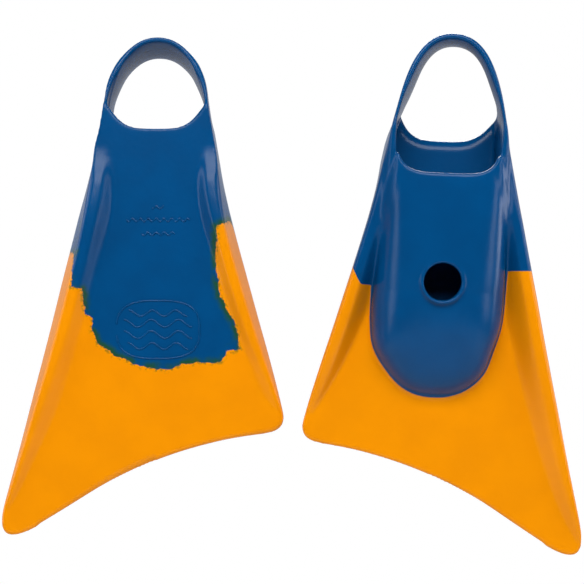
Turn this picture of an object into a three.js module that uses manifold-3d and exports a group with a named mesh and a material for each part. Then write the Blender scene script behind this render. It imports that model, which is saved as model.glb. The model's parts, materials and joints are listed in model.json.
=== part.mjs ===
// A pair of short, asymmetric swim fins of moulded rubber, the kind worn for bodyboarding.
// Both are held up by the foot pocket, heel straps at the top and blades pointing down. The right
// one, as seen from the front, shows its instep, and the left one shows its sole.
// Millimetres, +Z up, +Y away from the front. The origin is the right fin's own origin.
//
// Each fin is built in its own frame: +X towards its long rail, +Y from toe to heel, +Z from sole
// to instep, with the origin at the middle of the sole's rear edge, on the sole's underside.
// "Ahead" is a distance from there towards the toe and the blade, so y = -ahead.
import * as THREE from "three";
import { mergeVertices } from "three/addons/utils/BufferGeometryUtils.js";
import Module from "manifold-3d";

const wasm = await Module();
wasm.setup();

// ---- driving dimensions ----
const GAP = 0.35; // between neighbouring pieces, which are bonded on the real fin
const SOLE_THICK = 7;
const WEB_BOTTOM = 0.5; // the blade's web, a little thinner than the sole
const WEB_TOP = 6.5;
const WALL = 5; // the upper's rubber

const HEEL_HALF_WIDTH = 45.5; // outline at the sole's rear edge
const TIP_AHEAD = 337; // the long rail's tip, before it is rounded
const TIP_RADIUS = 18;
const CORNER_AHEAD = 240; // the short rail's corner, before it is rounded
const CORNER_RADIUS = 15;

const RIM_AHEAD = 28; // rear edge of the upper at its crown
const RIM_HALF_WIDTH = 39; // inside the pocket at the rim
const RIM_CORNER = 9;
const POCKET_HALF_WIDTH = 45; // outside of the upper at the rim
const BALL_AHEAD = 127; // where the pocket is widest
const BALL_HALF_WIDTH = 52;
const TOE_AHEAD = 201; // outside of the toe
const ARCH_POWER = 2.8; // how square the upper's cross-section is
const DRAIN_AHEAD = 112;
const DRAIN_RADIUS = 14;

const CREST_LOW = -8; // furthest that a rail stands proud of the sole
const RAIL_REAR = 33; // where the rails start behind
const COLOUR_LINE = 104; // blue rubber behind, orange rubber ahead, on both rails
const LONG_RAIL_END = 298;
const SHORT_RAIL_END = 222;

const STRAP_BACK = 76.5; // outside of the heel strap behind the sole's rear edge
const STRAP_THICK = 6;
const STRAP_LEAN = 0.08; // the strap's upper edge leans towards the toe
const STRAP_AXIS = { ahead: 6, z: 33, radius: 25.5, sweep: 20 };
const STRAP_HEEL_LOW = 20; // lower edge of the strap behind the heel
const STRAP_HEEL_HIGH = 59;

const BLADE_AXIS = { ahead: 207, z: 4, sweep: 21 };
const WEB_KNUCKLE = 2.9; // radius of the rounded joint face on the web and on the rails
const RAIL_KNUCKLE = 9;
const SHORT_TIP_KNUCKLE = 5;
const KNUCKLE_CLEARANCE = 2; // between the web and the part of a rail that turns beside it

// where the left fin is, and how far each leans from upright, in degrees
const LEFT_PLACE = { x: -227.4, y: 0, z: 10.5 };
const LEFT_LEAN = 0;
const RIGHT_LEAN = 2.35;

const BLUE = new THREE.MeshStandardMaterial({ color: 0x0b4a82, roughness: 0.42, metalness: 0 });
const ORANGE = new THREE.MeshStandardMaterial({ color: 0xf59a05, roughness: 0.5, metalness: 0 });

// ---- small helpers ----
const radians = THREE.MathUtils.degToRad;
const point = (x, ahead) => new THREE.Vector2(x, -ahead);
const steps = (from, to, count) =>
  Array.from({ length: count + 1 }, (_, i) => from + ((to - from) * i) / count);

// A smooth function through [at, value] pairs.
function through(...pairs) {
  const curve = new THREE.SplineCurve(pairs.map(([at, value]) => new THREE.Vector2(at, value)));
  const samples = curve.getPoints(pairs.length * 24);
  return (at) => {
    const next = samples.findIndex((p) => p.x >= at);
    if (next < 0) return samples.at(-1).y;
    if (next === 0) return samples[0].y;
    const a = samples[next - 1];
    const b = samples[next];
    return THREE.MathUtils.mapLinear(at, a.x, b.x, a.y, b.y);
  };
}

function toSolid(geometry) {
  const bare = new THREE.BufferGeometry();
  const flat = geometry.index ? geometry.toNonIndexed() : geometry;
  bare.setAttribute("position", flat.getAttribute("position"));
  const merged = mergeVertices(bare, 1e-4);
  return new wasm.Manifold(
    new wasm.Mesh({
      numProp: 3,
      vertProperties: merged.attributes.position.array,
      triVerts: new Uint32Array(merged.index.array),
    }),
  );
}

function toGeometry(solid) {
  const mesh = solid.getMesh();
  const positions = new Float32Array(mesh.numVert * 3);
  for (let i = 0; i < mesh.numVert; i++) {
    positions.set(mesh.vertProperties.subarray(i * mesh.numProp, i * mesh.numProp + 3), i * 3);
  }
  const geometry = new THREE.BufferGeometry();
  geometry.setAttribute("position", new THREE.BufferAttribute(positions, 3));
  geometry.setIndex(new THREE.BufferAttribute(mesh.triVerts, 1));
  geometry.computeVertexNormals();
  return geometry;
}

// A solid of constant thickness over an outline in plan.
function slab(outline, low, high) {
  const shape = new THREE.Shape(outline);
  const geometry = new THREE.ExtrudeGeometry(shape, { depth: high - low, bevelEnabled: false });
  return toSolid(geometry.translate(0, 0, low));
}

// A solid across the whole fin with an outline in side view, given as [ahead, z] pairs.
function acrossFin(sideOutline, halfWidth = 150) {
  const shape = new THREE.Shape(sideOutline.map(([ahead, z]) => new THREE.Vector2(-ahead, z)));
  const geometry = new THREE.ExtrudeGeometry(shape, { depth: 2 * halfWidth, bevelEnabled: false });
  const axes = new THREE.Matrix4().makeBasis(
    new THREE.Vector3(0, 1, 0),
    new THREE.Vector3(0, 0, 1),
    new THREE.Vector3(1, 0, 0),
  );
  return toSolid(geometry.translate(0, 0, -halfWidth).applyMatrix4(axes));
}

// A solid skinned over cross-sections, each at one distance ahead, given as [x, z] pairs.
function loft(sections) {
  const count = sections[0].ring.length;
  const positions = sections.flatMap(({ ahead, ring }) => ring.flatMap(([x, z]) => [x, -ahead, z]));
  const index = [];
  for (let s = 0; s + 1 < sections.length; s++) {
    for (let i = 0; i < count; i++) {
      const a = s * count + i;
      const b = s * count + ((i + 1) % count);
      index.push(a, b, a + count, b, b + count, a + count);
    }
  }
  const cap = (s, turned) => {
    const contour = sections[s].ring.map(([x, z]) => new THREE.Vector2(x, z));
    for (const [a, b, c] of THREE.ShapeUtils.triangulateShape(contour, [])) {
      index.push(...(turned ? [a, c, b] : [a, b, c]).map((i) => i + s * count));
    }
  };
  cap(0, true);
  cap(sections.length - 1, false);
  const geometry = new THREE.BufferGeometry();
  geometry.setAttribute("position", new THREE.Float32BufferAttribute(positions, 3));
  geometry.setIndex(index);
  return toSolid(geometry);
}

// ---- the outline in plan ----
const longEdge = through(
  [0, 46], [20, 51.5], [41, 57.2], [60, 62], [91, 69.6], [121, 77], [152, 84.3],
  [182, 91.6], [213, 99.3], [245, 107.1], [290, 118.8], [345, 133.2],
);
const shortEdge = through(
  [0, 45.6], [20, 48], [41, 52.3], [60, 56.8], [91, 64.9], [121, 73.2],
  [152, 81.8], [182, 90.3], [213, 98.6], [245, 106.5],
);
const trailingAhead = through([-104, 241], [-52, 249], [-10, 261], [32, 279], [74, 304], [130, 338]);
const edgeOf = { long: longEdge, short: shortEdge };
const signOf = { long: 1, short: -1 };

// Points on an arc that rounds the corner where two directions meet.
function roundedCorner(corner, before, after, radius, count = 8) {
  const toBefore = before.clone().sub(corner).normalize();
  const toAfter = after.clone().sub(corner).normalize();
  const half = Math.acos(THREE.MathUtils.clamp(toBefore.dot(toAfter), -1, 1)) / 2;
  const reach = radius / Math.tan(half);
  const start = corner.clone().addScaledVector(toBefore, reach);
  const end = corner.clone().addScaledVector(toAfter, reach);
  return new THREE.QuadraticBezierCurve(start, corner, end).getPoints(count);
}

// Everything ahead of a line across the fin, out to the rounded corners and the swept trailing edge.
function bladeOutline(fromAhead) {
  const shortCorner = point(-shortEdge(CORNER_AHEAD), CORNER_AHEAD);
  const longTip = point(longEdge(TIP_AHEAD), TIP_AHEAD);
  const shortSide = steps(fromAhead, CORNER_AHEAD - 22, 4).map((a) => point(-shortEdge(a), a));
  const edge = steps(shortCorner.x, longTip.x, 28).map((x) => point(x, trailingAhead(x)));
  const corner = roundedCorner(shortCorner, shortSide.at(-1), edge[3], CORNER_RADIUS);
  const longSide = steps(TIP_AHEAD - 45, fromAhead, 3).map((a) => point(longEdge(a), a));
  const tip = roundedCorner(longTip, edge.at(-4), longSide[0], TIP_RADIUS);
  const between = edge.filter((p) => p.x > corner.at(-1).x + 3 && p.x < tip[0].x - 3);
  return [...shortSide, ...corner, ...between, ...tip, ...longSide];
}

// ---- the foot pocket ----
const pocketHalfWidth = (ahead) => {
  if (ahead > BALL_AHEAD) {
    const part = (ahead - BALL_AHEAD) / (TOE_AHEAD - BALL_AHEAD);
    return BALL_HALF_WIDTH * Math.sqrt(Math.max(0, 1 - part * part));
  }
  const part = THREE.MathUtils.smoothstep(ahead, 0, BALL_AHEAD);
  return THREE.MathUtils.lerp(POCKET_HALF_WIDTH, BALL_HALF_WIDTH, part);
};
const pocketHeight = through(
  [0, 60], [26, 60], [70, 57], [110, 52], [140, 46], [165, 38], [186, 27], [TOE_AHEAD, 15],
);
// the toes' side of the pocket leans towards the short rail
const toeShift = through([0, 0], [115, 0], [145, -2.5], [165, -5.2], [185, -4.5], [TOE_AHEAD, -1.5]);

// Distances ahead for the pocket's sections, closer together where the toe turns in.
const toeward = (toe) => [
  ...steps(0, BALL_AHEAD, 9),
  ...steps(0, Math.PI / 2, 9)
    .slice(1)
    .map((angle) => BALL_AHEAD + (toe - BALL_AHEAD) * Math.sin(angle)),
];

// A filled arch on the sole, smaller than the pocket's outside by a margin.
function arch(margin, base) {
  const toe = TOE_AHEAD - margin;
  const nearToe = toe - 0.4;
  const stretch = (TOE_AHEAD - BALL_AHEAD) / (toe - BALL_AHEAD);
  const sections = toeward(nearToe).map((ahead) => {
    const same = ahead > BALL_AHEAD ? BALL_AHEAD + (ahead - BALL_AHEAD) * stretch : ahead;
    const half = pocketHalfWidth(same) * (1 - margin / BALL_HALF_WIDTH);
    const rise = pocketHeight(same) - margin - base;
    const ring = steps(0, Math.PI, 20).map((angle) => [
      toeShift(same) + half * Math.sign(Math.cos(angle)) * Math.abs(Math.cos(angle)) ** (2 / ARCH_POWER),
      base + rise * Math.abs(Math.sin(angle)) ** (2 / ARCH_POWER),
    ]);
    return { ahead, ring };
  });
  return loft(sections);
}

function pocketOutline(margin, fromAhead) {
  const distances = toeward(TOE_AHEAD).filter((a) => a > fromAhead);
  const side = (sign) =>
    distances.map((a) => point(toeShift(a) + sign * (pocketHalfWidth(a) + margin), a));
  const toe = side(-1).reverse().slice(1);
  toe[0] = point(toeShift(TOE_AHEAD), TOE_AHEAD + margin);
  return [
    point(POCKET_HALF_WIDTH + margin, fromAhead),
    ...side(1).slice(0, -1),
    ...toe,
    point(-POCKET_HALF_WIDTH - margin, fromAhead),
  ];
}

// The half-space behind or ahead of a hinge line, turned about it by an angle in degrees.
function beyondAxis(axis, direction, angle) {
  const reach = 400;
  const turn = radians(angle);
  const corner = (u, v) => [
    axis.ahead + direction * (u * Math.cos(turn) - v * Math.sin(turn)),
    axis.z + (u * Math.sin(turn) + v * Math.cos(turn)),
  ];
  const square = [corner(-GAP, -reach), corner(reach, -reach), corner(reach, reach), corner(-GAP, reach)];
  return acrossFin(square);
}

function cylinderOnAxis(axis, radius) {
  const round = steps(0, 2 * Math.PI, 48)
    .slice(1)
    .map((a) => [axis.ahead + radius * Math.cos(a), axis.z + radius * Math.sin(a)]);
  return acrossFin(round);
}

// What a hinged neighbour sweeps through, to be cut from a piece that stays.
function sweptRoom(axis, direction, radius) {
  return cylinderOnAxis(axis, radius + GAP)
    .add(beyondAxis(axis, direction, axis.sweep))
    .add(beyondAxis(axis, direction, -axis.sweep));
}

function upper() {
  const rim = [
    point(RIM_HALF_WIDTH, -60),
    ...roundedCorner(
      point(RIM_HALF_WIDTH, RIM_AHEAD),
      point(RIM_HALF_WIDTH, 0),
      point(0, RIM_AHEAD),
      RIM_CORNER,
    ),
    ...roundedCorner(
      point(-RIM_HALF_WIDTH, RIM_AHEAD),
      point(0, RIM_AHEAD),
      point(-RIM_HALF_WIDTH, 0),
      RIM_CORNER,
    ),
    point(-RIM_HALF_WIDTH, -60),
  ];
  const drain = new THREE.CylinderGeometry(DRAIN_RADIUS, DRAIN_RADIUS, 100, 40)
    .rotateX(Math.PI / 2)
    .translate(0, -DRAIN_AHEAD, 60);
  return arch(0, SOLE_THICK + GAP)
    .subtract(arch(WALL, SOLE_THICK - 10))
    .subtract(slab(rim, 10, 100))
    .subtract(toSolid(drain))
    .subtract(sweptRoom(STRAP_AXIS, -1, STRAP_AXIS.radius));
}

function sole() {
  const inside = RIM_HALF_WIDTH - 0.8; // clear of the strap's arms
  const step = STRAP_AXIS.ahead + 11; // ahead of here the sole runs under the upper's walls
  const rear = new THREE.QuadraticBezierCurve(point(-36, -9), point(0, 9), point(36, -9));
  const outline = [
    ...rear.getPoints(16),
    point(inside - 1.6, -3),
    point(inside, step),
    ...pocketOutline(0, step),
    point(-inside, step),
    point(-inside + 1.6, -3),
  ];
  return slab(outline, 0, SOLE_THICK);
}

// ---- the rails ----
const railWidth = {
  long: through([0, 22], [125, 25.5], [200, 24.5], [245, 19], [275, 14], [298, 7]),
  short: through([0, 22], [125, 24], [150, 22], [186, 16.5], [222, 7]),
};
const railTop = {
  long: through([30, 40], [60, 35.5], [97, 31], [125, 28], [161, 24.5], [200, 20], [250, 14], [298, 8.5]),
  short: through([30, 40], [60, 35.5], [97, 31], [125, 27], [161, 21.5], [200, 12.5], [222, 8]),
};
const railLow = {
  long: through([0, 0], [30, -1], [90, CREST_LOW], [120, CREST_LOW], [235, CREST_LOW], [298, -2]),
  short: through([0, 0], [30, -1], [90, CREST_LOW], [120, CREST_LOW], [175, -6], [222, -1]),
};
const railInnerFoot = (side, ahead) => {
  const free = edgeOf[side](ahead) - railWidth[side](ahead);
  const besidePocket = pocketHalfWidth(ahead) + signOf[side] * toeShift(ahead) + GAP;
  return Math.max(free, besidePocket);
};

// One rail between two distances ahead: a bar with a flat crest above and below.
function rail(side, from, to, count) {
  const sections = steps(from, to, count).map((ahead) => {
    const outer = edgeOf[side](ahead);
    const width = outer - railInnerFoot(side, ahead);
    const top = railTop[side](ahead);
    const low = railLow[side](ahead);
    const widest = THREE.MathUtils.lerp(low, top, 0.55);
    const profile = [
      [0.2, low],
      [0, widest],
      [0.17, top],
      [0.45, top],
      [1, WEB_TOP],
      [1, WEB_BOTTOM],
      [0.6, low],
    ];
    const ring = profile.map(([inward, z]) => [signOf[side] * (outer - inward * width), z]);
    return { ahead, ring: side === "long" ? ring : ring.reverse() };
  });
  return loft(sections);
}

function footLine(side, from, to, margin) {
  return steps(from, to, 12).map((a) => point(signOf[side] * (railInnerFoot(side, a) - margin), a));
}

// ---- the web between the rails ----
function web() {
  const from = 134;
  const to = BLADE_AXIS.ahead + 20;
  const knee = BLADE_AXIS.ahead - RAIL_KNUCKLE - 3;
  const side = (name) => [
    ...footLine(name, from, knee, GAP),
    ...footLine(name, knee, to, KNUCKLE_CLEARANCE),
  ];
  return slab([...side("long"), ...side("short").reverse()], WEB_BOTTOM, WEB_TOP)
    .subtract(slab(pocketOutline(GAP, 20), -20, 20))
    .subtract(sweptRoom(BLADE_AXIS, 1, WEB_KNUCKLE));
}

function blade() {
  const from = BLADE_AXIS.ahead - 10;
  const strip = (side, end) => {
    const outside = (a) => point(signOf[side] * (edgeOf[side](a) + 20), a);
    return slab([...footLine(side, from - 1, end, GAP), outside(end), outside(from - 1)], -20, 20);
  };
  const plate = slab(bladeOutline(from), WEB_BOTTOM, WEB_TOP)
    .subtract(strip("long", LONG_RAIL_END + GAP))
    .subtract(strip("short", SHORT_RAIL_END + GAP));
  return movingSide(plate, WEB_KNUCKLE);
}

const movingSide = (piece, radius) =>
  piece.intersect(beyondAxis(BLADE_AXIS, 1, 0).add(cylinderOnAxis(BLADE_AXIS, radius)));
const fixedSide = (piece, radius) => piece.subtract(sweptRoom(BLADE_AXIS, 1, radius));

// ---- the heel strap ----
function strap() {
  const half = (margin) => [
    point(HEEL_HALF_WIDTH + 5 - margin, 34),
    point(HEEL_HALF_WIDTH - margin, 0),
    point(42.2 - margin, -20),
    point(38.2 - margin, -39),
    point(30 - margin * 0.8, -58 + margin * 0.6),
    point(17 - margin * 0.4, -71.5 + margin * 0.9),
    point(0, -STRAP_BACK + margin),
  ];
  const mirrored = (points) => points.map((p) => new THREE.Vector2(-p.x, p.y));
  const loop = (margin) => {
    const points = half(margin);
    const whole = [...points, ...mirrored(points).reverse().slice(1)];
    return new THREE.SplineCurve(whole).getPoints(64);
  };
  const band = [...loop(0), ...loop(STRAP_THICK).reverse()];
  const { ahead, z, radius } = STRAP_AXIS;
  const knuckle = steps(-Math.PI / 2, Math.PI / 2, 20).map((a) => [
    ahead + radius * Math.cos(a),
    z + radius * Math.sin(a),
  ]);
  const sideView = [
    ...knuckle,
    [-20, z + radius + 0.8],
    [-STRAP_BACK - 20, STRAP_HEEL_HIGH],
    [-STRAP_BACK - 20, STRAP_HEEL_LOW],
    [-50, STRAP_HEEL_LOW - 5],
    [-20, z - radius + 1],
  ];
  const lean = new THREE.Matrix4().set(
    1, 0, 0, 0,
    0, 1, -STRAP_LEAN, STRAP_LEAN * z,
    0, 0, 1, 0,
    0, 0, 0, 1,
  );
  const upright = new THREE.ExtrudeGeometry(new THREE.Shape(band), { depth: 80, bevelEnabled: false });
  return toSolid(upright.applyMatrix4(lean)).intersect(acrossFin(sideView));
}

// ---- one fin, as a group of named meshes ----
function fin(prefix) {
  const { ahead: flex } = BLADE_AXIS;
  const middle = COLOUR_LINE + GAP;
  const pieces = {
    sole: [sole(), BLUE],
    upper: [upper(), BLUE],
    heel_strap: [strap(), BLUE],
    long_rail_rear: [rail("long", RAIL_REAR, COLOUR_LINE, 6), BLUE],
    short_rail_rear: [rail("short", RAIL_REAR, COLOUR_LINE, 6), BLUE],
    long_rail_middle: [fixedSide(rail("long", middle, flex + 12, 10), RAIL_KNUCKLE), ORANGE],
    short_rail_middle: [fixedSide(rail("short", middle, SHORT_RAIL_END, 10), RAIL_KNUCKLE), ORANGE],
    long_rail_tip: [movingSide(rail("long", flex - 12, LONG_RAIL_END, 9), RAIL_KNUCKLE), ORANGE],
    short_rail_tip: [
      movingSide(rail("short", flex - 12, SHORT_RAIL_END, 5), SHORT_TIP_KNUCKLE),
      ORANGE,
    ],
    web: [web(), ORANGE],
    blade: [blade(), ORANGE],
  };
  const group = new THREE.Group();
  for (const [name, [solid, material]] of Object.entries(pieces)) {
    const mesh = new THREE.Mesh(toGeometry(solid), material);
    mesh.name = `${prefix}_${name}`;
    group.add(mesh);
  }
  return group;
}

// Each fin is stood up with its heel at the top, leaned, and on the left turned to face backwards.
function standing(finGroup, lean, turn) {
  finGroup.rotation.set(Math.PI / 2, 0, turn, "ZXY");
  const holder = new THREE.Group();
  holder.rotation.y = radians(lean);
  holder.add(finGroup);
  return holder;
}

const right = standing(fin("right"), RIGHT_LEAN, 0);
const left = standing(fin("left"), LEFT_LEAN, Math.PI);
left.position.set(LEFT_PLACE.x, LEFT_PLACE.y, LEFT_PLACE.z);

const pair = new THREE.Group();
pair.add(right, left);

export default pair;
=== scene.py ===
"""A pair of bodyboarding swim fins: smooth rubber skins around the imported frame.

Each fin is shaped as a signed distance field in its own millimetre coordinates: x towards the long
rail, y from toe to heel, z from sole to instep, origin at the middle of the sole's rear edge.
"Ahead" is a distance from there towards the blade, so y = -ahead. The field is turned into a
mesh, stood in the frame's place for that fin, and cut at the toe line where the blade bends.
"""
import json
import math

import bmesh
import bpy
import numpy as np
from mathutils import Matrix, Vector


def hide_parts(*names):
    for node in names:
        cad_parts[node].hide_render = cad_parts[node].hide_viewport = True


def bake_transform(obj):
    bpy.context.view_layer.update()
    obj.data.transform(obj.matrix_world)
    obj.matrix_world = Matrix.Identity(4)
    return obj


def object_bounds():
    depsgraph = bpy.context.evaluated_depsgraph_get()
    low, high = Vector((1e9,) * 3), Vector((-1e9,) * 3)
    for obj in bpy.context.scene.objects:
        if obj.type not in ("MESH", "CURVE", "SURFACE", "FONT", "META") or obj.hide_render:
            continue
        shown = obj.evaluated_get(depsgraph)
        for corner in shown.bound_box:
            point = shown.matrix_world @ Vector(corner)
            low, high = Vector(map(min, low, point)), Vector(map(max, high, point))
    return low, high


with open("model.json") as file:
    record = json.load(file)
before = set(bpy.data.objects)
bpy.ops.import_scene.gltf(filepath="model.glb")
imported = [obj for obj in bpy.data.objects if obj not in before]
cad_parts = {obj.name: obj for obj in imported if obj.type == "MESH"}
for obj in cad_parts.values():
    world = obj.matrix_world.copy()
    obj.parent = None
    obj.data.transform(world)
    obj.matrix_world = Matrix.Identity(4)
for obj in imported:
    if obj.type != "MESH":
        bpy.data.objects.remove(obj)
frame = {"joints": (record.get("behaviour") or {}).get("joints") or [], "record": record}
cad_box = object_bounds()

# ---- driving dimensions, in millimetres ----
MM = 0.001  # one millimetre, in the frame's metres
CELL = 1.37  # grid spacing of the distance field
LOW = np.array([-118.0, -332.0, -16.0])  # the grid's corners
HIGH = np.array([132.0, 84.0, 68.0])

# the outline: (ahead, half width) along each side edge, and (across, ahead) along the trailing edge
HEEL_HALF_WIDTH = 44.8
LONG_EDGE = [
    (-60, 43.5), (0, 44.8), (8, 46.8), (20, 50.4), (41, 56.8), (60, 62), (91, 69.6), (121, 77),
    (152, 84.3), (182, 91.6), (213, 99.3), (245, 107.1), (290, 118.8), (345, 133.2),
]
SHORT_EDGE = [
    (-60, 44), (0, 44.8), (8, 46.2), (20, 48.4), (41, 52.3), (60, 56.8), (91, 64.9), (121, 73.2),
    (152, 81.8), (182, 90.3), (213, 98.6), (245, 106.5),
]
TRAILING_EDGE = [(-104, 241), (-52, 249), (-10, 261), (32, 279), (74, 304), (130, 338)]
TIP_AHEAD = 337.0
TIP_RADIUS = 18.0
TIP_ROOM = 40.0  # where the long edge gives way to the tip's round
CORNER_AHEAD = 240.0
CORNER_RADIUS = 15.0
CORNER_ROOM = 22.0
SIDE_START = 3.0  # ahead of the strap's roots

# the foot pocket, widest across the ball of the foot
SOLE_THICK = 7.0
WALL = 4.8
BALL_AHEAD = 127.0
BALL_HALF_WIDTH = 52.5
RIM_POCKET_HALF_WIDTH = 44.5
POCKET_BASE = -4.0
POCKET_SCALE = 0.86  # makes the superellipsoid's value roughly a distance near its wall
SHELL_BACK = 4.0  # how far behind the origin the pocket runs before the mouth is cut
POCKET_TOP = [(-60, 60.5), (0, 60.5), (26, 60.3), (70, 57), (110, 52), (140, 47.5), (170, 44.5), (200, 43)]
TOE_AHEAD = 202.5
TOE_SHIFT = [(0, 0), (115, 0.8), (145, 0.0), (165, -1.3), (185, 1.0), (203, 0.5)]  # towards the long rail
TOE_ROUNDNESS = 2.25  # 2 would make the toe an ellipse in plan
ARCH_SQUARENESS = [(-10, 6.5), (30, 5.5), (75, 3.6), (120, 2.7)]

# the pocket's mouth, the sole's rear edge and the drain hole
RIM_AHEAD = 29.2
RIM_HALF_WIDTH = 39.4
RIM_BOW = 15.5
MOUTH_LOW = 12.0  # the mouth is cut above this height, and the sole's rear edge below CUT_OUT_TOP
CUT_OUT_HALF_WIDTH = 36.4
CUT_OUT_DEPTH = 18.0
CUT_OUT_BACK = 2.5
CUT_OUT_TOP = 11.0
CUT_OUT_SLANT = 0.95
DRAIN_AHEAD = 112.0
DRAIN_RADIUS = 14.2
DRAIN_LIP = 1.5
DRAIN_LIP_TOP = 51.6
DRAIN_FLOOR = 24.0  # the hole goes no deeper than the room for the foot

# the heel strap
STRAP_BACK = 76.5
STRAP_THICK = 5.5
STRAP_BULGE = 2.4
STRAP_ROOT_THINNED = 1.5
STRAP_AHEAD = 44.0  # how far its ends run on inside the pocket's walls
STRAP_HEEL_LOW = 18.0
STRAP_TOP = 60.0
STRAP_LOW = [(-76, 19), (-62, 16.5), (-46, 10.5), (-32, 4.5), (-20, 0.8), (-10, 0), (60, 0)]
STRAP_HIGH = [(-75, 57), (-50, 59), (-20, STRAP_TOP), (0, 59), (20, 52), (44, 39)]
# how the soft strap of each fin lies: its upper edge leans towards the toe, its edges lean towards
# the long rail, and its sides spread by a share of their width
STRAP_LEAN = {
    "left": {"toeward": 10.5, "top_aside": 1.5, "low_aside": 0.0, "spread": 0.09},
    "right": {"toeward": 0.0, "top_aside": 0.0, "low_aside": 5.0, "spread": 0.0},
}

# rounds of edges and fillets between parts
PLATE_ROUND = 3.2
STRAP_ROUND = 4.0
STRAP_FILLET = 5.0
SHELL_ROUND = 4.0
ROOM_ROUND = 3.5
RIM_ROUND = 3.2
CUT_OUT_ROUND = 5.0
FILLET_AT_TOE = 4.0
FILLET_AT_HEEL = 15.0

COLOUR_LINE = 100.8  # blue rubber behind, orange rubber ahead, on the instep's rails
COLOUR_LINE_SLOPE = 0.04
SHORT_SIDE_STEP = 15.0  # how much further ahead the line runs beside the pocket on the short side
TOE_LINE = 208.0  # where the skin is cut in two, just ahead of the pocket's toe
TOE_LAYER = int((-TOE_LINE - LOW[1]) / CELL)
BEND_LENGTH = 34.0


# ---- small helpers ----
def through(pairs, at):
    """A smooth curve through (at, value) pairs, level beyond both ends."""
    xs, ys = np.array(pairs, float).T
    slopes = np.gradient(ys, xs)
    at = np.clip(at, xs[0], xs[-1])
    i = np.clip(np.searchsorted(xs, at, side="right") - 1, 0, len(xs) - 2)
    span = xs[i + 1] - xs[i]
    t = (at - xs[i]) / span
    a = (1 + 2 * t) * (1 - t) ** 2 * ys[i] + t * (1 - t) ** 2 * span * slopes[i]
    return a + t * t * (3 - 2 * t) * ys[i + 1] + t * t * (t - 1) * span * slopes[i + 1]


def smooth_min(a, b, k):
    """The lesser of two distances, with a fillet of size k where they meet."""
    h = np.clip(0.5 + 0.5 * (b - a) / k, 0, 1)
    return b * (1 - h) + a * h - k * h * (1 - h)


def smooth_max(a, b, k):
    """The greater of two distances, with a round of size k where they meet."""
    return -smooth_min(-a, -b, k)


def smoothstep(low, high, at):
    """0 at low, 1 at high, and eased between them."""
    t = np.clip((at - low) / (high - low), 0, 1)
    return t * t * (3 - 2 * t)


def polygon_distance(points, x, y):
    """Signed distance in plan to a closed outline, negative inside."""
    nearest = np.full(x.shape, 1e9)
    inside = np.zeros(x.shape, bool)
    for (ax, ay), (bx, by) in zip(points, np.roll(points, -1, axis=0)):
        ex, ey = bx - ax, by - ay
        if ex == 0 and ey == 0:
            continue
        wx, wy = x - ax, y - ay
        t = np.clip((wx * ex + wy * ey) / (ex * ex + ey * ey), 0, 1)
        nearest = np.minimum(nearest, (wx - ex * t) ** 2 + (wy - ey * t) ** 2)
        if ey != 0:
            inside ^= ((ay > y) != (by > y)) & (x < ex * (y - ay) / ey + ax)
    return np.where(inside, -1, 1) * np.sqrt(nearest)


def bezier(points, count):
    """A Bezier curve of any degree."""
    t = np.linspace(0, 1, count)[:, None]
    degree = len(points) - 1
    return sum(
        math.comb(degree, i) * t**i * (1 - t) ** (degree - i) * np.array(p, float)
        for i, p in enumerate(points)
    )


def rounded_corner(corner, before, after, radius):
    """The round stretch that replaces a corner between its two neighbours."""
    corner, before, after = (np.array(p, float) for p in (corner, before, after))
    to_before = (before - corner) / np.linalg.norm(before - corner)
    to_after = (after - corner) / np.linalg.norm(after - corner)
    reach = radius / math.tan(math.acos(np.clip(to_before @ to_after, -1, 1)) / 2)
    return bezier([corner + to_before * reach, corner, corner + to_after * reach], 12)


# ---- the outline in plan ----
def long_edge(ahead):
    return through(LONG_EDGE, ahead)


def short_edge(ahead):
    return through(SHORT_EDGE, ahead)


def strap_outline(inset):
    """Half of the strap loop in plan, from root to rearmost point, inset from its outside."""
    side = bezier([(HEEL_HALF_WIDTH, 0), (37.5, 42), (28.5, STRAP_BACK), (0, STRAP_BACK)], 60)
    inside = np.array([0.0, 20.0])
    if inset:
        tangent = np.gradient(side, axis=0)
        normal = np.stack([-tangent[:, 1], tangent[:, 0]], 1)
        normal /= np.linalg.norm(normal, axis=1)[:, None]
        normal *= np.sign(((inside - side) * normal).sum(1))[:, None]
        side = side + normal * inset
        side[:, 0] = np.maximum(side[:, 0], 0)
    return side


def strap_loop(inset):
    """The whole strap loop in plan, closed far ahead."""
    side = strap_outline(inset)
    right = np.vstack([[[side[0, 0], -60.0]], side])
    left = right[::-1] * [-1, 1]
    return np.vstack([right, left[1:]])


def whole_outline():
    """Everything in plan: strap, long edge, tip, trailing edge, corner and short edge."""
    short_corner = np.array([-short_edge(CORNER_AHEAD), -CORNER_AHEAD])
    long_tip = np.array([long_edge(TIP_AHEAD), -TIP_AHEAD])
    across = np.linspace(short_corner[0], long_tip[0], 60)
    trailing = np.stack([across, -through(TRAILING_EDGE, across)], 1)
    short_at = np.linspace(SIDE_START, CORNER_AHEAD - CORNER_ROOM, 40)
    short_side = np.stack([-short_edge(short_at), -short_at], 1)
    long_at = np.linspace(SIDE_START, TIP_AHEAD - TIP_ROOM, 60)
    long_side = np.stack([long_edge(long_at), -long_at], 1)
    corner = rounded_corner(short_corner, short_side[-1], trailing[6], CORNER_RADIUS)
    tip = rounded_corner(long_tip, trailing[-7], long_side[-1], TIP_RADIUS)
    between = trailing[(trailing[:, 0] > corner[-1, 0] + 2) & (trailing[:, 0] < tip[0, 0] - 2)]
    side = strap_outline(0)
    return np.vstack([side[::-1] * [-1, 1], short_side, corner, between, tip, long_side[::-1], side[:-1]])


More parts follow.
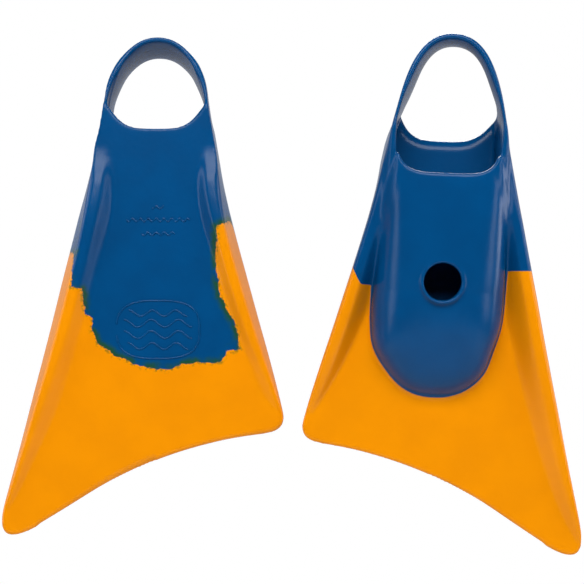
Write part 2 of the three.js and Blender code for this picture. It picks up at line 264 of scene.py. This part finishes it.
# ---- the fin's distance field ----
# The rails, 1 for the long and -1 for the short one, as (ahead, value). WIDTH is how far in from the
# edge a rail reaches on that face, LAND how much of that is level, TOP and LOW are the heights of the
# land, and DRAFT is how far the side wall draws in from its widest line to its lower edge.
INSTEP_WIDTH = {
    1: [(-20, 20), (0, 22), (60, 24), (125, 25.5), (200, 24.5), (245, 20.5), (280, 16), (300, 11),
        (315, 5)],
    -1: [(-20, 20), (0, 22), (60, 23.5), (125, 24), (150, 22), (186, 16.5), (220, 7)],
}
INSTEP_LAND = {
    1: [(0, 7), (125, 10), (200, 9.5), (250, 8.5), (304, 4)],
    -1: [(0, 7), (125, 9), (160, 9), (190, 7.5), (220, 4)],
}
INSTEP_TOP = {
    1: [(-20, 52), (0, 47), (30, 40), (60, 35.5), (97, 31), (125, 28), (161, 24.5), (200, 20),
        (250, 14), (285, 10), (312, 6)],
    -1: [(-20, 52), (0, 47), (30, 40), (60, 35.5), (97, 31), (125, 27), (161, 21.5), (200, 12.5),
         (222, 6.5)],
}
SOLE_WIDTH = {
    1: [(12, 12), (30, 20), (57, 28), (97, 30), (160, 28.5), (216, 25), (255, 17.5), (285, 11), (306, 5)],
    -1: [(12, 10), (30, 17), (57, 23), (100, 23.5), (160, 20.5), (180, 18.5), (216, 11.5), (226, 6)],
}
SOLE_LAND = {
    1: [(12, 6), (30, 11), (57, 16), (97, 17), (160, 16), (216, 12), (255, 8.5), (304, 4)],
    -1: [(12, 5), (30, 9), (57, 12.5), (100, 13), (160, 11), (180, 9), (222, 4)],
}
SOLE_LOW = {
    1: [(0, 0.3), (16, 0.2), (28, -2), (40, -6), (52, -8.2), (120, -9), (200, -7.8), (245, -5.5),
        (285, -2), (306, 0.5)],
    -1: [(0, 0.3), (16, 0.2), (28, -2), (40, -5.8), (52, -7.8), (120, -8.4), (160, -7), (200, -3.4),
         (226, 0.5)],
}
DRAFT = {
    1: [(-30, 0.2), (0, 2), (25, 7), (60, 9), (200, 8), (250, 5), (310, 1)],
    -1: [(-30, 0.2), (0, 1.5), (25, 4.5), (60, 6), (160, 5.5), (226, 1.5)],
}
EDGE_COSINE = 0.975  # of the side edges' angle to the middle line
WIDEST_SHARE = 0.78  # how far up a side wall its widest line runs
WEB_LOW = 0.4
WEB_THICK = 7.2
WEB_TAPER = 2.1  # how much thinner the web is at the trailing edge


def rail_share(inward, width, land):
    """1 on a rail's land and 0 on the web, with the slope between them."""
    down = np.clip((inward - land) / (width - land), 0, 1)
    return 1 - 0.6 * smoothstep(0, 1, down) - 0.4 * down


def plate_heights(x, y):
    """Upper and lower surfaces of the blade, sole and rails."""
    ahead = -y
    web_top = WEB_LOW + WEB_THICK - WEB_TAPER * smoothstep(190, 300, ahead)
    top = web_top.copy()
    low = np.full(x.shape, WEB_LOW)
    for side, edge in ((1, long_edge), (-1, short_edge)):
        inward = (edge(ahead) - side * x) * EDGE_COSINE
        share = rail_share(inward, through(INSTEP_WIDTH[side], ahead), through(INSTEP_LAND[side], ahead))
        top = np.maximum(top, web_top + (through(INSTEP_TOP[side], ahead) - web_top) * share)
        share = rail_share(inward, through(SOLE_WIDTH[side], ahead), through(SOLE_LAND[side], ahead))
        low = np.minimum(low, WEB_LOW + (through(SOLE_LOW[side], ahead) - WEB_LOW) * share)
    return top, low


def slope_scale(height):
    """What turns a height above a sloping surface into a distance from it."""
    gy, gx = np.gradient(height, CELL)
    return 1 / np.sqrt(1 + gx * gx + gy * gy)


def pocket(x, y, z, margin):
    """The arched pocket as a stretched superellipsoid, smaller than its outside by a margin."""
    ahead = -y
    toe = TOE_AHEAD - margin
    width = RIM_POCKET_HALF_WIDTH + (BALL_HALF_WIDTH - RIM_POCKET_HALF_WIDTH) * smoothstep(
        -10, BALL_AHEAD, ahead
    )
    width = width - margin
    rise = through(POCKET_TOP, ahead) - POCKET_BASE - margin
    turned = np.clip((ahead - BALL_AHEAD) / (toe - BALL_AHEAD), 0, None)
    across = np.abs(x - through(TOE_SHIFT, ahead)) / width
    up = np.clip(z - POCKET_BASE, 0, None) / rise
    squareness = through(ARCH_SQUARENESS, ahead)
    arch = (across**squareness + up**squareness) ** (1 / squareness)
    whole = (arch**TOE_ROUNDNESS + turned**TOE_ROUNDNESS) ** (1 / TOE_ROUNDNESS)
    return (whole - 1) * np.minimum(width, rise) * POCKET_SCALE


def on_grid(plan):
    """Makes a value known in plan fit the whole grid."""
    return plan[:, :, None]


def plate(x2, y2, z, plan, top, low):
    """Sole, rails and web, with side walls that draw in above and below their widest line."""
    high_side, low_side = on_grid(top), on_grid(low)
    widest = on_grid(low + WIDEST_SHARE * (top - low))
    above = np.clip((z - widest) / np.maximum(high_side - widest, 3), 0, 2)
    below = np.clip((widest - z) / np.maximum(widest - low_side, 3), 0, 2)
    draft = np.where(x2 > 0, through(DRAFT[1], -y2), through(DRAFT[-1], -y2))
    walls = on_grid(plan) + on_grid(draft) * (below**1.1 + 0.3 * above**1.6)
    made = smooth_max((z - high_side) * on_grid(slope_scale(top)), walls, PLATE_ROUND)
    made = smooth_max(made, (low_side - z) * on_grid(slope_scale(low)), PLATE_ROUND)
    return smooth_max(made, on_grid(y2) - 20.0, 6.0)


def strap_loops(y2, z, outer, inner):
    """The heel strap, whose lower edge sweeps up from the sole, and the room inside its loop."""
    strap_low, strap_high = through(STRAP_LOW, -y2), through(STRAP_HIGH, -y2)
    middle = on_grid(0.5 * (strap_low + strap_high))
    half = on_grid(0.5 * (strap_high - strap_low))
    bulge = STRAP_BULGE * smoothstep(4, 40, on_grid(y2)) * np.clip(1 - ((z - middle) / half) ** 2, 0, 1)
    thinned = STRAP_ROOT_THINNED * smoothstep(-2, 10, y2) * smoothstep(46, 22, y2)
    inside = on_grid(inner - thinned) + bulge
    strap = smooth_max(on_grid(outer), -inside, 2.0)
    strap = smooth_max(strap, np.abs(z - middle) - half, STRAP_ROUND)
    return smooth_max(strap, -on_grid(y2) - STRAP_AHEAD, STRAP_ROUND), inside


def foot_room(x, y, z, inside_loop):
    """The room for the foot, open at the heel."""
    cavity = smooth_max(pocket(x, y, z, WALL), y - SHELL_BACK, SHELL_ROUND)
    room = smooth_min(cavity, np.maximum(inside_loop, -y - 15.0), 3.0)
    return smooth_max(room, SOLE_THICK - z, ROOM_ROUND)


def mouth(x2, y2, z, inside_loop):
    """What is cut away behind the upper's rim, a shallow bow between the strap's roots."""
    rim_y = -RIM_AHEAD + RIM_BOW * np.minimum(np.abs(x2) / RIM_HALF_WIDTH, 1.2) ** 5
    made = smooth_max(on_grid((rim_y - y2) * slope_scale(rim_y)), MOUTH_LOW - z, 2.0)
    return smooth_max(made, inside_loop, 7.0)


def heel_cut(x2, y, z, inside_loop):
    """What is cut away behind the sole's rear edge, a shallow U."""
    cut_y = CUT_OUT_DEPTH * np.minimum(np.abs(x2) / CUT_OUT_HALF_WIDTH, 1.3) ** 3.8 + CUT_OUT_BACK
    made = (on_grid(cut_y) - CUT_OUT_SLANT * np.clip(z, 0, SOLE_THICK) - y) * on_grid(slope_scale(cut_y))
    made = smooth_max(made, inside_loop, 2.0)
    return smooth_max(made, z - CUT_OUT_TOP, 2.0)


def with_drain(rubber, x, y, z):
    """Adds the drain hole and its raised lip."""
    radius = np.sqrt(x**2 + (y + DRAIN_AHEAD) ** 2)
    lip = np.sqrt((radius - DRAIN_RADIUS - 1.6) ** 2 + (z - DRAIN_LIP_TOP) ** 2) - DRAIN_LIP
    hole = np.maximum(radius - DRAIN_RADIUS, DRAIN_FLOOR - z)
    return smooth_max(smooth_min(rubber, lip, 1.6), -hole, 1.2)


def build_field():
    """Samples the fin's distance field, negative in rubber."""
    counts = np.ceil((HIGH - LOW) / CELL).astype(int)
    xs, ys, zs = (LOW[i] + CELL * np.arange(counts[i]) for i in range(3))
    y2, x2 = np.meshgrid(ys, xs)
    x2, y2 = x2.astype(np.float32), y2.astype(np.float32)
    x, y, z = on_grid(x2), on_grid(y2), zs[None, None, :].astype(np.float32)
    plan = polygon_distance(whole_outline(), x2, y2)
    loops = [polygon_distance(strap_loop(inset), x2, y2) for inset in (0.0, STRAP_THICK)]
    top, low = plate_heights(x2, y2)

    strap, inside_loop = strap_loops(y2, z, *loops)
    shell = smooth_max(pocket(x, y, z, 0.0), -z + 0.2, 2.0)
    shell = smooth_max(shell, y - SHELL_BACK, SHELL_ROUND)
    fillet = on_grid(FILLET_AT_TOE + (FILLET_AT_HEEL - FILLET_AT_TOE) * smoothstep(120, 10, -y2))
    rubber = smooth_min(plate(x2, y2, z, plan, top, low), shell, fillet)
    rubber = smooth_min(rubber, strap, STRAP_FILLET)
    under = (on_grid(low) - z) * on_grid(slope_scale(low))
    rubber = smooth_max(rubber, np.maximum(on_grid(plan), under), 1.2)

    rubber = smooth_max(rubber, -foot_room(x, y, z, inside_loop), 2.0)
    rubber = smooth_max(rubber, -mouth(x2, y2, z, inside_loop), RIM_ROUND)
    rubber = smooth_max(rubber, -heel_cut(x2, y, z, inside_loop), CUT_OUT_ROUND)
    return with_drain(rubber, x, y, z).astype(np.float32)


# ---- from field to mesh ----
def sample(field, places):
    """Trilinear value and gradient of the field."""
    at = (places - LOW) / CELL
    base = np.clip(np.floor(at).astype(int), 0, np.array(field.shape) - 2)
    f = at - base
    corner = {}
    for i in (0, 1):
        for j in (0, 1):
            for k in (0, 1):
                corner[i, j, k] = field[base[:, 0] + i, base[:, 1] + j, base[:, 2] + k]
    weight = [np.stack([1 - f[:, a], f[:, a]]) for a in range(3)]
    value = 0
    gradient = [0, 0, 0]
    for (i, j, k), c in corner.items():
        wx, wy, wz = weight[0][i], weight[1][j], weight[2][k]
        value = value + c * wx * wy * wz
        gradient[0] = gradient[0] + (2 * i - 1) * c * wy * wz
        gradient[1] = gradient[1] + (2 * j - 1) * c * wx * wz
        gradient[2] = gradient[2] + (2 * k - 1) * c * wx * wy
    return value, np.stack(gradient, 1) / CELL


def smooth_gradient(field, places):
    """The field's gradient from differences over a whole cell, which shades smoothly."""
    step = CELL * 0.9
    parts = []
    for axis in range(3):
        shift = np.zeros(3)
        shift[axis] = step
        parts.append(sample(field, places + shift)[0] - sample(field, places - shift)[0])
    gradient = np.stack(parts, 1)
    return gradient / np.linalg.norm(gradient, axis=1)[:, None]


def surface(field):
    """Surface nets: one vertex in each cell that the surface crosses, one quad per crossed edge."""
    solid = field < 0
    shape = np.array(field.shape) - 1
    count = np.zeros(shape, np.int8)
    for i in (0, 1):
        for j in (0, 1):
            for k in (0, 1):
                count += solid[i : shape[0] + i, j : shape[1] + j, k : shape[2] + k]
    mixed = (count > 0) & (count < 8)
    cells = np.argwhere(mixed)
    number = np.full(mixed.shape, -1, np.int64)
    number[mixed] = np.arange(len(cells))
    total = np.zeros((len(cells), 3))
    crossings = np.zeros(len(cells))
    for axis in range(3):
        others = [a for a in range(3) if a != axis]
        for p in (0, 1):
            for q in (0, 1):
                start = np.zeros(3, int)
                start[others[0]], start[others[1]] = p, q
                end = start.copy()
                end[axis] = 1
                fa = field[tuple((cells + start).T)]
                fb = field[tuple((cells + end).T)]
                crossed = (fa < 0) != (fb < 0)
                t = np.where(crossed, fa / np.where(fa == fb, 1, fa - fb), 0)
                place = start + t[:, None] * (end - start)
                total[crossed] += place[crossed]
                crossings += crossed
    places = LOW + CELL * (cells + total / crossings[:, None])
    layers = cells[:, 1]
    quads = []
    for axis in range(3):
        b, c = (axis + 1) % 3, (axis + 2) % 3
        first = np.moveaxis(solid, axis, 0)[:-1]
        second = np.moveaxis(solid, axis, 0)[1:]
        edges = np.argwhere(np.moveaxis(first != second, 0, axis))
        going_out = np.moveaxis(first & ~second, 0, axis)[tuple(edges.T)]
        keep = (edges[:, b] > 0) & (edges[:, c] > 0)
        keep &= (edges[:, b] < shape[b]) & (edges[:, c] < shape[c])
        edges, going_out = edges[keep], going_out[keep]
        ring = []
        for db, dc in ((1, 1), (0, 1), (0, 0), (1, 0)):
            cell = edges.copy()
            cell[:, b] -= db
            cell[:, c] -= dc
            ring.append(number[tuple(cell.T)])
        quad = np.stack(ring, 1)
        quad[~going_out] = quad[~going_out][:, ::-1]
        quads.append(quad)
    quads = np.vstack(quads)
    for _ in range(2):
        value, gradient = sample(field, places)
        step = value / np.maximum((gradient**2).sum(1), 0.2)
        step = np.clip(step, -0.4 * CELL, 0.4 * CELL)
        places = places - step[:, None] * gradient
    places[layers == TOE_LAYER, 1] = -TOE_LINE
    return places, quads, layers


# ---- shallow relief on the sole ----
RELIEF_RADIUS = 0.75
RELIEF_RISE = 0.8
# centre across, ahead, width, number of waves, wave height
WAVE_LINES = [
    (-2, 63, 9, 1.5, 1.0),
    (-2, 73, 50, 8, 1.2),
    (-2, 84, 26, 4, 1.2),
    (-2, 147, 46, 2.5, 2.4),
    (-2, 155, 54, 2.5, 3.0),
    (-2, 164, 54, 2.5, 3.0),
    (-2, 173, 48, 2.5, 2.6),
]
WAVE_RING = (-2, 160, 33, 23)  # centre across, ahead, half width, half height


def relief_paths():
    """The middle lines of the waves and of the ring round them, in plan."""
    paths = []
    for centre, ahead, width, waves, height in WAVE_LINES:
        along = np.linspace(-0.5, 0.5, int(14 * waves) + 8)
        y = -ahead + height * np.sin(2 * np.pi * waves * along)
        paths.append(np.stack([centre + width * along, y], 1))
    centre, ahead, half_width, half_height = WAVE_RING
    turn = np.linspace(0.1, 2 * np.pi - 0.1, 90)
    flat = np.abs(np.stack([np.cos(turn), np.sin(turn)])) ** 0.7
    x = centre + half_width * flat[0] * np.sign(np.cos(turn))
    y = -ahead + half_height * flat[1] * np.sign(np.sin(turn))
    paths.append(np.stack([x, y], 1))
    return paths


def ridge(path):
    """A six-sided ridge along a path in plan, half sunk in the sole, closed at both ends."""
    along = np.gradient(path, axis=0)
    along /= np.linalg.norm(along, axis=1)[:, None]
    across = np.stack([-along[:, 1], along[:, 0]], 1)
    angles = np.arange(6) * np.pi / 3
    offset = across[:, None, :] * np.cos(angles)[None, :, None]
    places = np.zeros((len(path), 6, 3))
    places[:, :, :2] = path[:, None, :] + offset * RELIEF_RADIUS
    places[:, :, 2] = WEB_LOW + RELIEF_RISE * np.sin(angles)
    upward = np.broadcast_to(np.sin(angles)[None, :, None], offset.shape[:2] + (1,))
    normals = np.concatenate([offset, upward], 2)
    ring = np.arange(6)
    start = np.arange(len(path) - 1)[:, None] * 6
    after = np.roll(ring, -1)
    sides = np.stack([start + ring, start + after, start + after + 6, start + ring + 6], 2).reshape(-1, 4)
    last = 6 * (len(path) - 1)
    caps = np.array([[3, 2, 1, 0], [5, 4, 3, 0], [last, last + 1, last + 2, last + 3],
                     [last, last + 3, last + 4, last + 5]])
    return places.reshape(-1, 3), normals.reshape(-1, 3), np.vstack([sides, caps])


def with_relief(places, normals, quads, layers):
    """Adds the relief's ridges to the skin, on the pocket's side of the toe line."""
    for path in relief_paths():
        more, more_normals, more_quads = ridge(path)
        quads = np.vstack([quads, more_quads + len(places)])
        places = np.vstack([places, more])
        normals = np.vstack([normals, more_normals])
        layers = np.append(layers, np.full(len(more), TOE_LAYER + 1))
    return places, normals, quads, layers


# ---- colour ----
def instep_blue(x, y):
    """Distance into the blue rubber as seen on the instep side."""
    ahead = -y
    behind_line = COLOUR_LINE - ahead - COLOUR_LINE_SLOPE * (np.abs(x) - 70)
    behind_line = behind_line + np.where(x < 0, SHORT_SIDE_STEP * smoothstep(-71, -60, x), 0)
    return np.maximum(behind_line, -polygon_distance(dome_outline(0.5), x, y))


def dome_outline(margin):
    """The pocket in plan, larger than its outside by a margin."""
    toe = TOE_AHEAD + margin
    around = np.linspace(0, math.pi, 40)
    power = 2 / TOE_ROUNDNESS
    x = (BALL_HALF_WIDTH + margin) * np.sign(np.cos(around)) * np.abs(np.cos(around)) ** power
    y = -BALL_AHEAD - (toe - BALL_AHEAD) * np.abs(np.sin(around)) ** power
    x = x + through(TOE_SHIFT, -y)
    back = np.array([[-BALL_HALF_WIDTH - margin, 0], [BALL_HALF_WIDTH + margin, 0]])
    return np.vstack([np.stack([x, y], 1), back])


def sole_blue(x, y):
    """Distance into the blue rubber on the sole side, where the two rubbers ran unevenly."""
    patch = np.array([
        (-60, 90), (66, 90), (64, -90), (64.5, -108), (66, -126), (58, -127), (56, -146), (50, -151),
        (50, -163), (45.5, -172), (34.5, -179), (25, -184), (7.5, -190), (-10, -192), (-27.5, -186),
        (-53, -186), (-56, -177), (-67, -175.5), (-64, -161), (-60, -149), (-51, -134), (-49, -121),
        (-48, -99), (-49, -78), (-52, -78), (-57, -73), (-75, -74), (-90, 90),
    ], float)
    long_part = np.array([(60, 90), (120, 90), (120, -88), (82, -94), (64, -100), (50, -60)], float)
    return np.maximum(-polygon_distance(patch, x, y), -polygon_distance(long_part, x, y))


# ---- meshes ----
def fin_place(side):
    """The fin's own axes and origin in the frame, in metres."""
    mounts = {m["name"]: m for m in frame["record"]["mounts"]}
    joints = {j["name"]: j for j in frame["joints"]}
    origin = np.array(mounts[f"{side}_foot_opening"]["pos_m"])
    across = np.array(joints[f"{side}_blade_flex"]["axis"], float)
    instep = -np.array(mounts[f"{side}_sole_face"]["axis"], float)
    across /= np.linalg.norm(across)
    heelward = np.cross(instep, across)
    return origin, np.stack([across, heelward, instep])


def stand(side, places):
    """Places in the fin's own millimetres, as metres in the frame."""
    origin, axes = fin_place(side)
    return origin + places * MM @ axes


def fill_cut(mesh, outward):
    """Closes the flat cut at the toe line."""
    bm = bmesh.new()
    bm.from_mesh(mesh)
    open_edges = [e for e in bm.edges if e.is_boundary]
    made = bmesh.ops.triangle_fill(bm, edges=open_edges, use_beauty=False)["geom"]
    lids = [f for f in made if isinstance(f, bmesh.types.BMFace)]
    bmesh.ops.reverse_faces(bm, faces=[f for f in lids if f.normal.dot(outward) < 0])
    bm.to_mesh(mesh)
    bm.free()


def loop_normals(mesh, normals, skin_faces):
    """Smooth normals on the skin, and flat ones on the faces that close its cut."""
    corners = []
    for face in mesh.polygons:
        flat = face.index >= skin_faces
        corners += [face.normal if flat else normals[v] for v in face.vertices]
    return [tuple(c) for c in corners]


def make_piece(name, places, normals, quads, marks, outward):
    """One piece of a skin from its quads, with its marks as attributes and its cut closed."""
    used, index = np.unique(quads, return_inverse=True)
    mesh = bpy.data.meshes.new(name)
    mesh.from_pydata(places[used].tolist(), [], index.reshape(-1, 4).tolist())
    for key, values in marks.items():
        attribute = mesh.attributes.new(key, "FLOAT" if values.ndim == 1 else "FLOAT_VECTOR", "POINT")
        field_name = "value" if values.ndim == 1 else "vector"
        attribute.data.foreach_set(field_name, np.ascontiguousarray(values[used], np.float32).ravel())
    piece = bpy.data.objects.new(name, mesh)
    bpy.context.scene.collection.objects.link(piece)
    fill_cut(mesh, outward)
    mesh.shade_smooth()
    mesh.normals_split_custom_set(loop_normals(mesh, normals[used], len(index) // 4))
    return piece


def lean_strap(places, side):
    """Lets the soft strap lie as that fin's does."""
    lean = STRAP_LEAN[side]
    y = places[:, 1]
    behind = np.clip(y / STRAP_BACK, 0, 1)
    above = np.clip((places[:, 2] - STRAP_HEEL_LOW) / (STRAP_TOP - STRAP_HEEL_LOW), 0, 1)
    aside = lean["top_aside"] * above + lean["low_aside"] * (1 - above)
    leaned = places.copy()
    leaned[:, 0] *= 1 + lean["spread"] * smoothstep(8, 45, y) * smoothstep(STRAP_BACK, 50, y)
    leaned[:, 0] += smoothstep(-8, 32, y) * aside
    leaned[:, 1] -= lean["toeward"] * behind * above
    return leaned


def make_fin(side, skin):
    """Stands one fin's skin in the frame as two pieces, and hides the frame's parts that they cover."""

    def at(y, z):
        return Vector(stand(side, np.array([[0.0, y, z]]))[0])

    places, normals, quads, layers, marks = skin
    stood = stand(side, lean_strap(places, side))
    _, axes = fin_place(side)
    stood_normals = normals @ axes
    toeward = Vector(-axes[1])
    is_blade = (layers[quads] <= TOE_LAYER).all(axis=1)
    body = make_piece(f"{side}_pocket_skin", stood, stood_normals, quads[~is_blade], marks, toeward)
    blade = make_piece(f"{side}_blade_skin", stood, stood_normals, quads[is_blade], marks, -toeward)
    for piece in (body, blade):
        piece.data.materials.append(rubber)

    at(-22, 30)
    at(22, 30)
    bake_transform(body)
    at(-TOE_LINE, 4)
    at(-TOE_LINE - BEND_LENGTH, 4)
    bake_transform(blade)

    body_nodes = ["sole", "upper", "heel_strap", "web"]
    body_nodes += [f"{rail}_rail_{part}" for rail in ("long", "short") for part in ("rear", "middle")]
    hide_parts(*[f"{side}_{n}" for n in body_nodes])
    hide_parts(*[f"{side}_{n}" for n in ("blade", "long_rail_tip", "short_rail_tip")])


# ---- rubber ----
BLUE = (0.0003, 0.060, 0.190, 1)
BLUE_DEEPER = (0.0003, 0.053, 0.170, 1)
ORANGE = (0.80, 0.262, 0.0006, 1)
ORANGE_DEEPER = (0.765, 0.247, 0.0006, 1)
SMEAR = (0.012, 0.066, 0.028, 1)  # orange run into the blue
STREAK = (0.11, 0.13, 0.01, 1)  # blue run into the orange
ROUGHNESS = 0.17
SPECULAR = 0.15
WANDER = 8.0  # how far the colour boundary strays where it is ragged, in millimetres


def node(tree, kind, **inputs):
    """A new shader node with its inputs set by name."""
    made = tree.nodes.new(kind)
    for key, value in inputs.items():
        made.inputs[key.replace("_", " ")].default_value = value
    return made


def rubber_material():
    """Moulded rubber in two colours, parted where the colour_line attribute crosses zero."""
    material = bpy.data.materials.new("two_colour_rubber")
    material.use_nodes = True
    tree = material.node_tree
    tree.nodes.clear()
    link = tree.links.new
    out = tree.nodes.new("ShaderNodeOutputMaterial")
    shader = tree.nodes.new("ShaderNodeBsdfPrincipled")
    link(shader.outputs[0], out.inputs[0])

    def attribute(name):
        made = tree.nodes.new("ShaderNodeAttribute")
        made.attribute_name = name
        return made

    def math_node(operation, a, b=None, c=None):
        made = tree.nodes.new("ShaderNodeMath")
        made.operation = operation
        for slot, value in enumerate((a, b, c)):
            if value is None:
                continue
            if isinstance(value, (int, float)):
                made.inputs[slot].default_value = value
            else:
                link(value, made.inputs[slot])
        return made.outputs[0]

    def noise(scale, detail, rough=0.5):
        made = node(tree, "ShaderNodeTexNoise", Scale=scale, Detail=detail, Roughness=rough)
        link(attribute("place").outputs["Vector"], made.inputs["Vector"])
        return made.outputs["Fac"]

    def ramp(value, low, high):
        made = tree.nodes.new("ShaderNodeMapRange")
        made.interpolation_type = "SMOOTHSTEP"
        made.inputs["From Min"].default_value = low
        made.inputs["From Max"].default_value = high
        link(value, made.inputs["Value"])
        return made.outputs["Result"]

    def mix(factor, a, b):
        made = tree.nodes.new("ShaderNodeMix")
        made.data_type = "RGBA"
        link(factor, made.inputs["Factor"])
        for socket, value in ((made.inputs["A"], a), (made.inputs["B"], b)):
            if isinstance(value, tuple):
                socket.default_value = value
            else:
                link(value, socket)
        return made.outputs["Result"]

    # the boundary, which wanders where it is ragged
    line = attribute("colour_line").outputs["Fac"]
    ragged = attribute("ragged").outputs["Fac"]
    wander = math_node("SUBTRACT", noise(0.09, 5, 0.65), 0.5)
    wander = math_node("MULTIPLY", wander, math_node("MULTIPLY_ADD", ragged, WANDER, 0.5))
    edge = math_node("ADD", line, wander)
    is_blue = ramp(edge, -0.35, 0.35)

    # slightly uneven colours, run into one another beside the ragged boundary
    mottle = noise(0.03, 4)
    fine = noise(0.9, 3)
    blue = mix(ramp(mottle, 0.3, 0.7), BLUE, BLUE_DEEPER)
    orange = mix(ramp(mottle, 0.3, 0.7), ORANGE, ORANGE_DEEPER)
    near_line = math_node("MULTIPLY", ramp(edge, -1.2, 0.8), ramp(edge, 6.5, 1.0))
    smear_patches = ramp(noise(0.05, 3), 0.38, 0.56)
    smear = math_node("MULTIPLY", near_line, math_node("MULTIPLY", ragged, smear_patches))
    blue = mix(smear, blue, SMEAR)
    streaks = math_node("MULTIPLY", ramp(edge, -3.2, -0.1), ramp(noise(0.35, 4), 0.47, 0.6))
    streaks = math_node("MULTIPLY", streaks, math_node("MULTIPLY", ragged, 0.75))
    orange = mix(streaks, orange, STREAK)
    link(mix(is_blue, orange, blue), shader.inputs["Base Color"])

    # a satin surface with the faint waviness of a moulding
    rough = math_node("MULTIPLY_ADD", mottle, 0.07, ROUGHNESS)
    rough = math_node("MULTIPLY_ADD", fine, 0.04, rough)
    link(rough, shader.inputs["Roughness"])
    shader.inputs["Specular IOR Level"].default_value = SPECULAR

    bump = node(tree, "ShaderNodeBump", Strength=0.25, Distance=0.0004)
    height = math_node("MULTIPLY_ADD", noise(2.2, 2), 0.35, noise(0.25, 3))
    link(height, bump.inputs["Height"])
    link(bump.outputs[0], shader.inputs["Normal"])
    return material


# ---- stage, in metres ----
FLOOR_RADIUS = 1.6
FLOOR_DROP = 0.55  # below the fins' lowest point
FLOOR_COLOUR = (0.7, 0.7, 0.7, 1)
DIM_WORLD = 0.03
BRIGHT_BEHIND = 0.6
# name: (place from the middle of the fins, size, power, colour)
SOFT_BOXES = {
    "top": ((0, -1.5, 1.15), (1.8, 0.9), 46, (1, 1, 1)),
    "low": ((0, -1.3, -1.25), (1.3, 0.5), 0.5, (1, 1, 1)),
    "left": ((-1.5, -0.45, 0.2), (0.5, 1.4), 8, (0.93, 0.93, 1.0)),
    "right": ((1.5, -0.45, 0.2), (0.5, 1.4), 8, (0.93, 0.93, 1.0)),
    "back_top": ((0, 1.35, 1.2), (1.3, 0.5), 28, (1, 1, 1)),
    "back_low": ((0, 1.3, -1.25), (1.3, 0.5), 12, (1, 1, 1)),
    "back_left": ((-1.5, 0.45, 0.2), (0.5, 1.4), 9, (0.93, 0.93, 1.0)),
    "back_right": ((1.5, 0.45, 0.2), (0.5, 1.4), 9, (0.93, 0.93, 1.0)),
}
CAMERA_DISTANCE = 1.2
CAMERA_FROM_RIGHT_FIN = (-0.1191, -CAMERA_DISTANCE, -0.1197)  # from that fin's origin
PICTURE_WIDTH = 0.463  # what the camera takes in at the soles
SENSOR_WIDTH = 36  # millimetres


def middle_of_fins():
    low, high = cad_box
    return (Vector(low) + Vector(high)) / 2


def lay_floor():
    """A plain pale disc below the fins, small enough to stay out of a level picture."""
    middle = middle_of_fins()
    bpy.ops.mesh.primitive_circle_add(
        vertices=96,
        radius=FLOOR_RADIUS,
        fill_type="NGON",
        location=(middle.x, middle.y, cad_box[0][2] - FLOOR_DROP),
    )
    floor = bpy.context.object
    floor.name = "floor"
    pale = bpy.data.materials.new("pale_floor")
    pale.use_nodes = True
    shader = pale.node_tree.nodes["Principled BSDF"]
    shader.inputs["Base Color"].default_value = FLOOR_COLOUR
    shader.inputs["Roughness"].default_value = 0.9
    floor.data.materials.append(pale)


def light_world():
    """White where it is seen, and a soft light, dim in front of the fins and brighter behind them."""
    world = bpy.data.worlds.new("pale_world")
    world.use_nodes = True
    tree = world.node_tree
    link = tree.links.new
    seen = tree.nodes["Background"]
    seen.inputs["Color"].default_value = (1, 1, 1, 1)
    dim = node(tree, "ShaderNodeBackground", Color=(0.9, 0.93, 1, 1))
    direction = tree.nodes.new("ShaderNodeTexCoord")
    towards = tree.nodes.new("ShaderNodeSeparateXYZ")
    link(direction.outputs["Generated"], towards.inputs[0])
    behind = node(
        tree, "ShaderNodeMapRange", From_Min=0.2, From_Max=1.0, To_Min=DIM_WORLD, To_Max=BRIGHT_BEHIND
    )
    behind.interpolation_type = "SMOOTHSTEP"
    link(towards.outputs["Y"], behind.inputs["Value"])
    link(behind.outputs["Result"], dim.inputs["Strength"])
    rays = tree.nodes.new("ShaderNodeLightPath")
    choose = tree.nodes.new("ShaderNodeMixShader")
    link(rays.outputs["Is Camera Ray"], choose.inputs[0])
    link(dim.outputs[0], choose.inputs[1])
    link(seen.outputs[0], choose.inputs[2])
    link(choose.outputs[0], tree.nodes["World Output"].inputs[0])
    bpy.context.scene.world = world


def lights():
    """Soft boxes all round, each facing the middle of the fins."""
    middle = middle_of_fins()
    for name, (place, size, power, colour) in SOFT_BOXES.items():
        data = bpy.data.lights.new(f"{name}_box", "AREA")
        data.shape = "RECTANGLE"
        data.size, data.size_y = size
        data.energy = power
        data.color = colour
        light = bpy.data.objects.new(f"{name}_box", data)
        light.location = middle + Vector(place)
        light.rotation_euler = (-Vector(place)).to_track_quat("-Z", "Y").to_euler()
        bpy.context.scene.collection.objects.link(light)


def camera():
    """Level, between the fins, as far off as the photograph's perspective suggests."""
    data = bpy.data.cameras.new("camera")
    data.sensor_width = SENSOR_WIDTH
    data.lens = SENSOR_WIDTH * CAMERA_DISTANCE / PICTURE_WIDTH
    made = bpy.data.objects.new("camera", data)
    origin, _ = fin_place("right")
    made.location = origin + np.array(CAMERA_FROM_RIGHT_FIN)
    made.rotation_euler = (math.radians(90), 0, 0)
    bpy.context.scene.collection.objects.link(made)
    bpy.context.scene.camera = made
    bpy.context.scene.view_settings.view_transform = "Standard"


def make_skin():
    """The whole skin that both fins share, with the marks its material reads."""
    field = build_field()
    places, quads, layers = surface(field)
    normals = smooth_gradient(field, places)
    places, normals, quads, layers = with_relief(places, normals, quads, layers)
    instep_side = smoothstep(-0.2, 0.2, normals[:, 2])
    x, y = places[:, 0], places[:, 1]
    marks = {
        "colour_line": instep_blue(x, y) * instep_side + sole_blue(x, y) * (1 - instep_side),
        "ragged": 1 - instep_side,
        "place": places,
    }
    return places, normals, quads, layers, marks


rubber = rubber_material()
skin = make_skin()
for side in ("right", "left"):
    make_fin(side, skin)
lay_floor()
light_world()
lights()
camera()
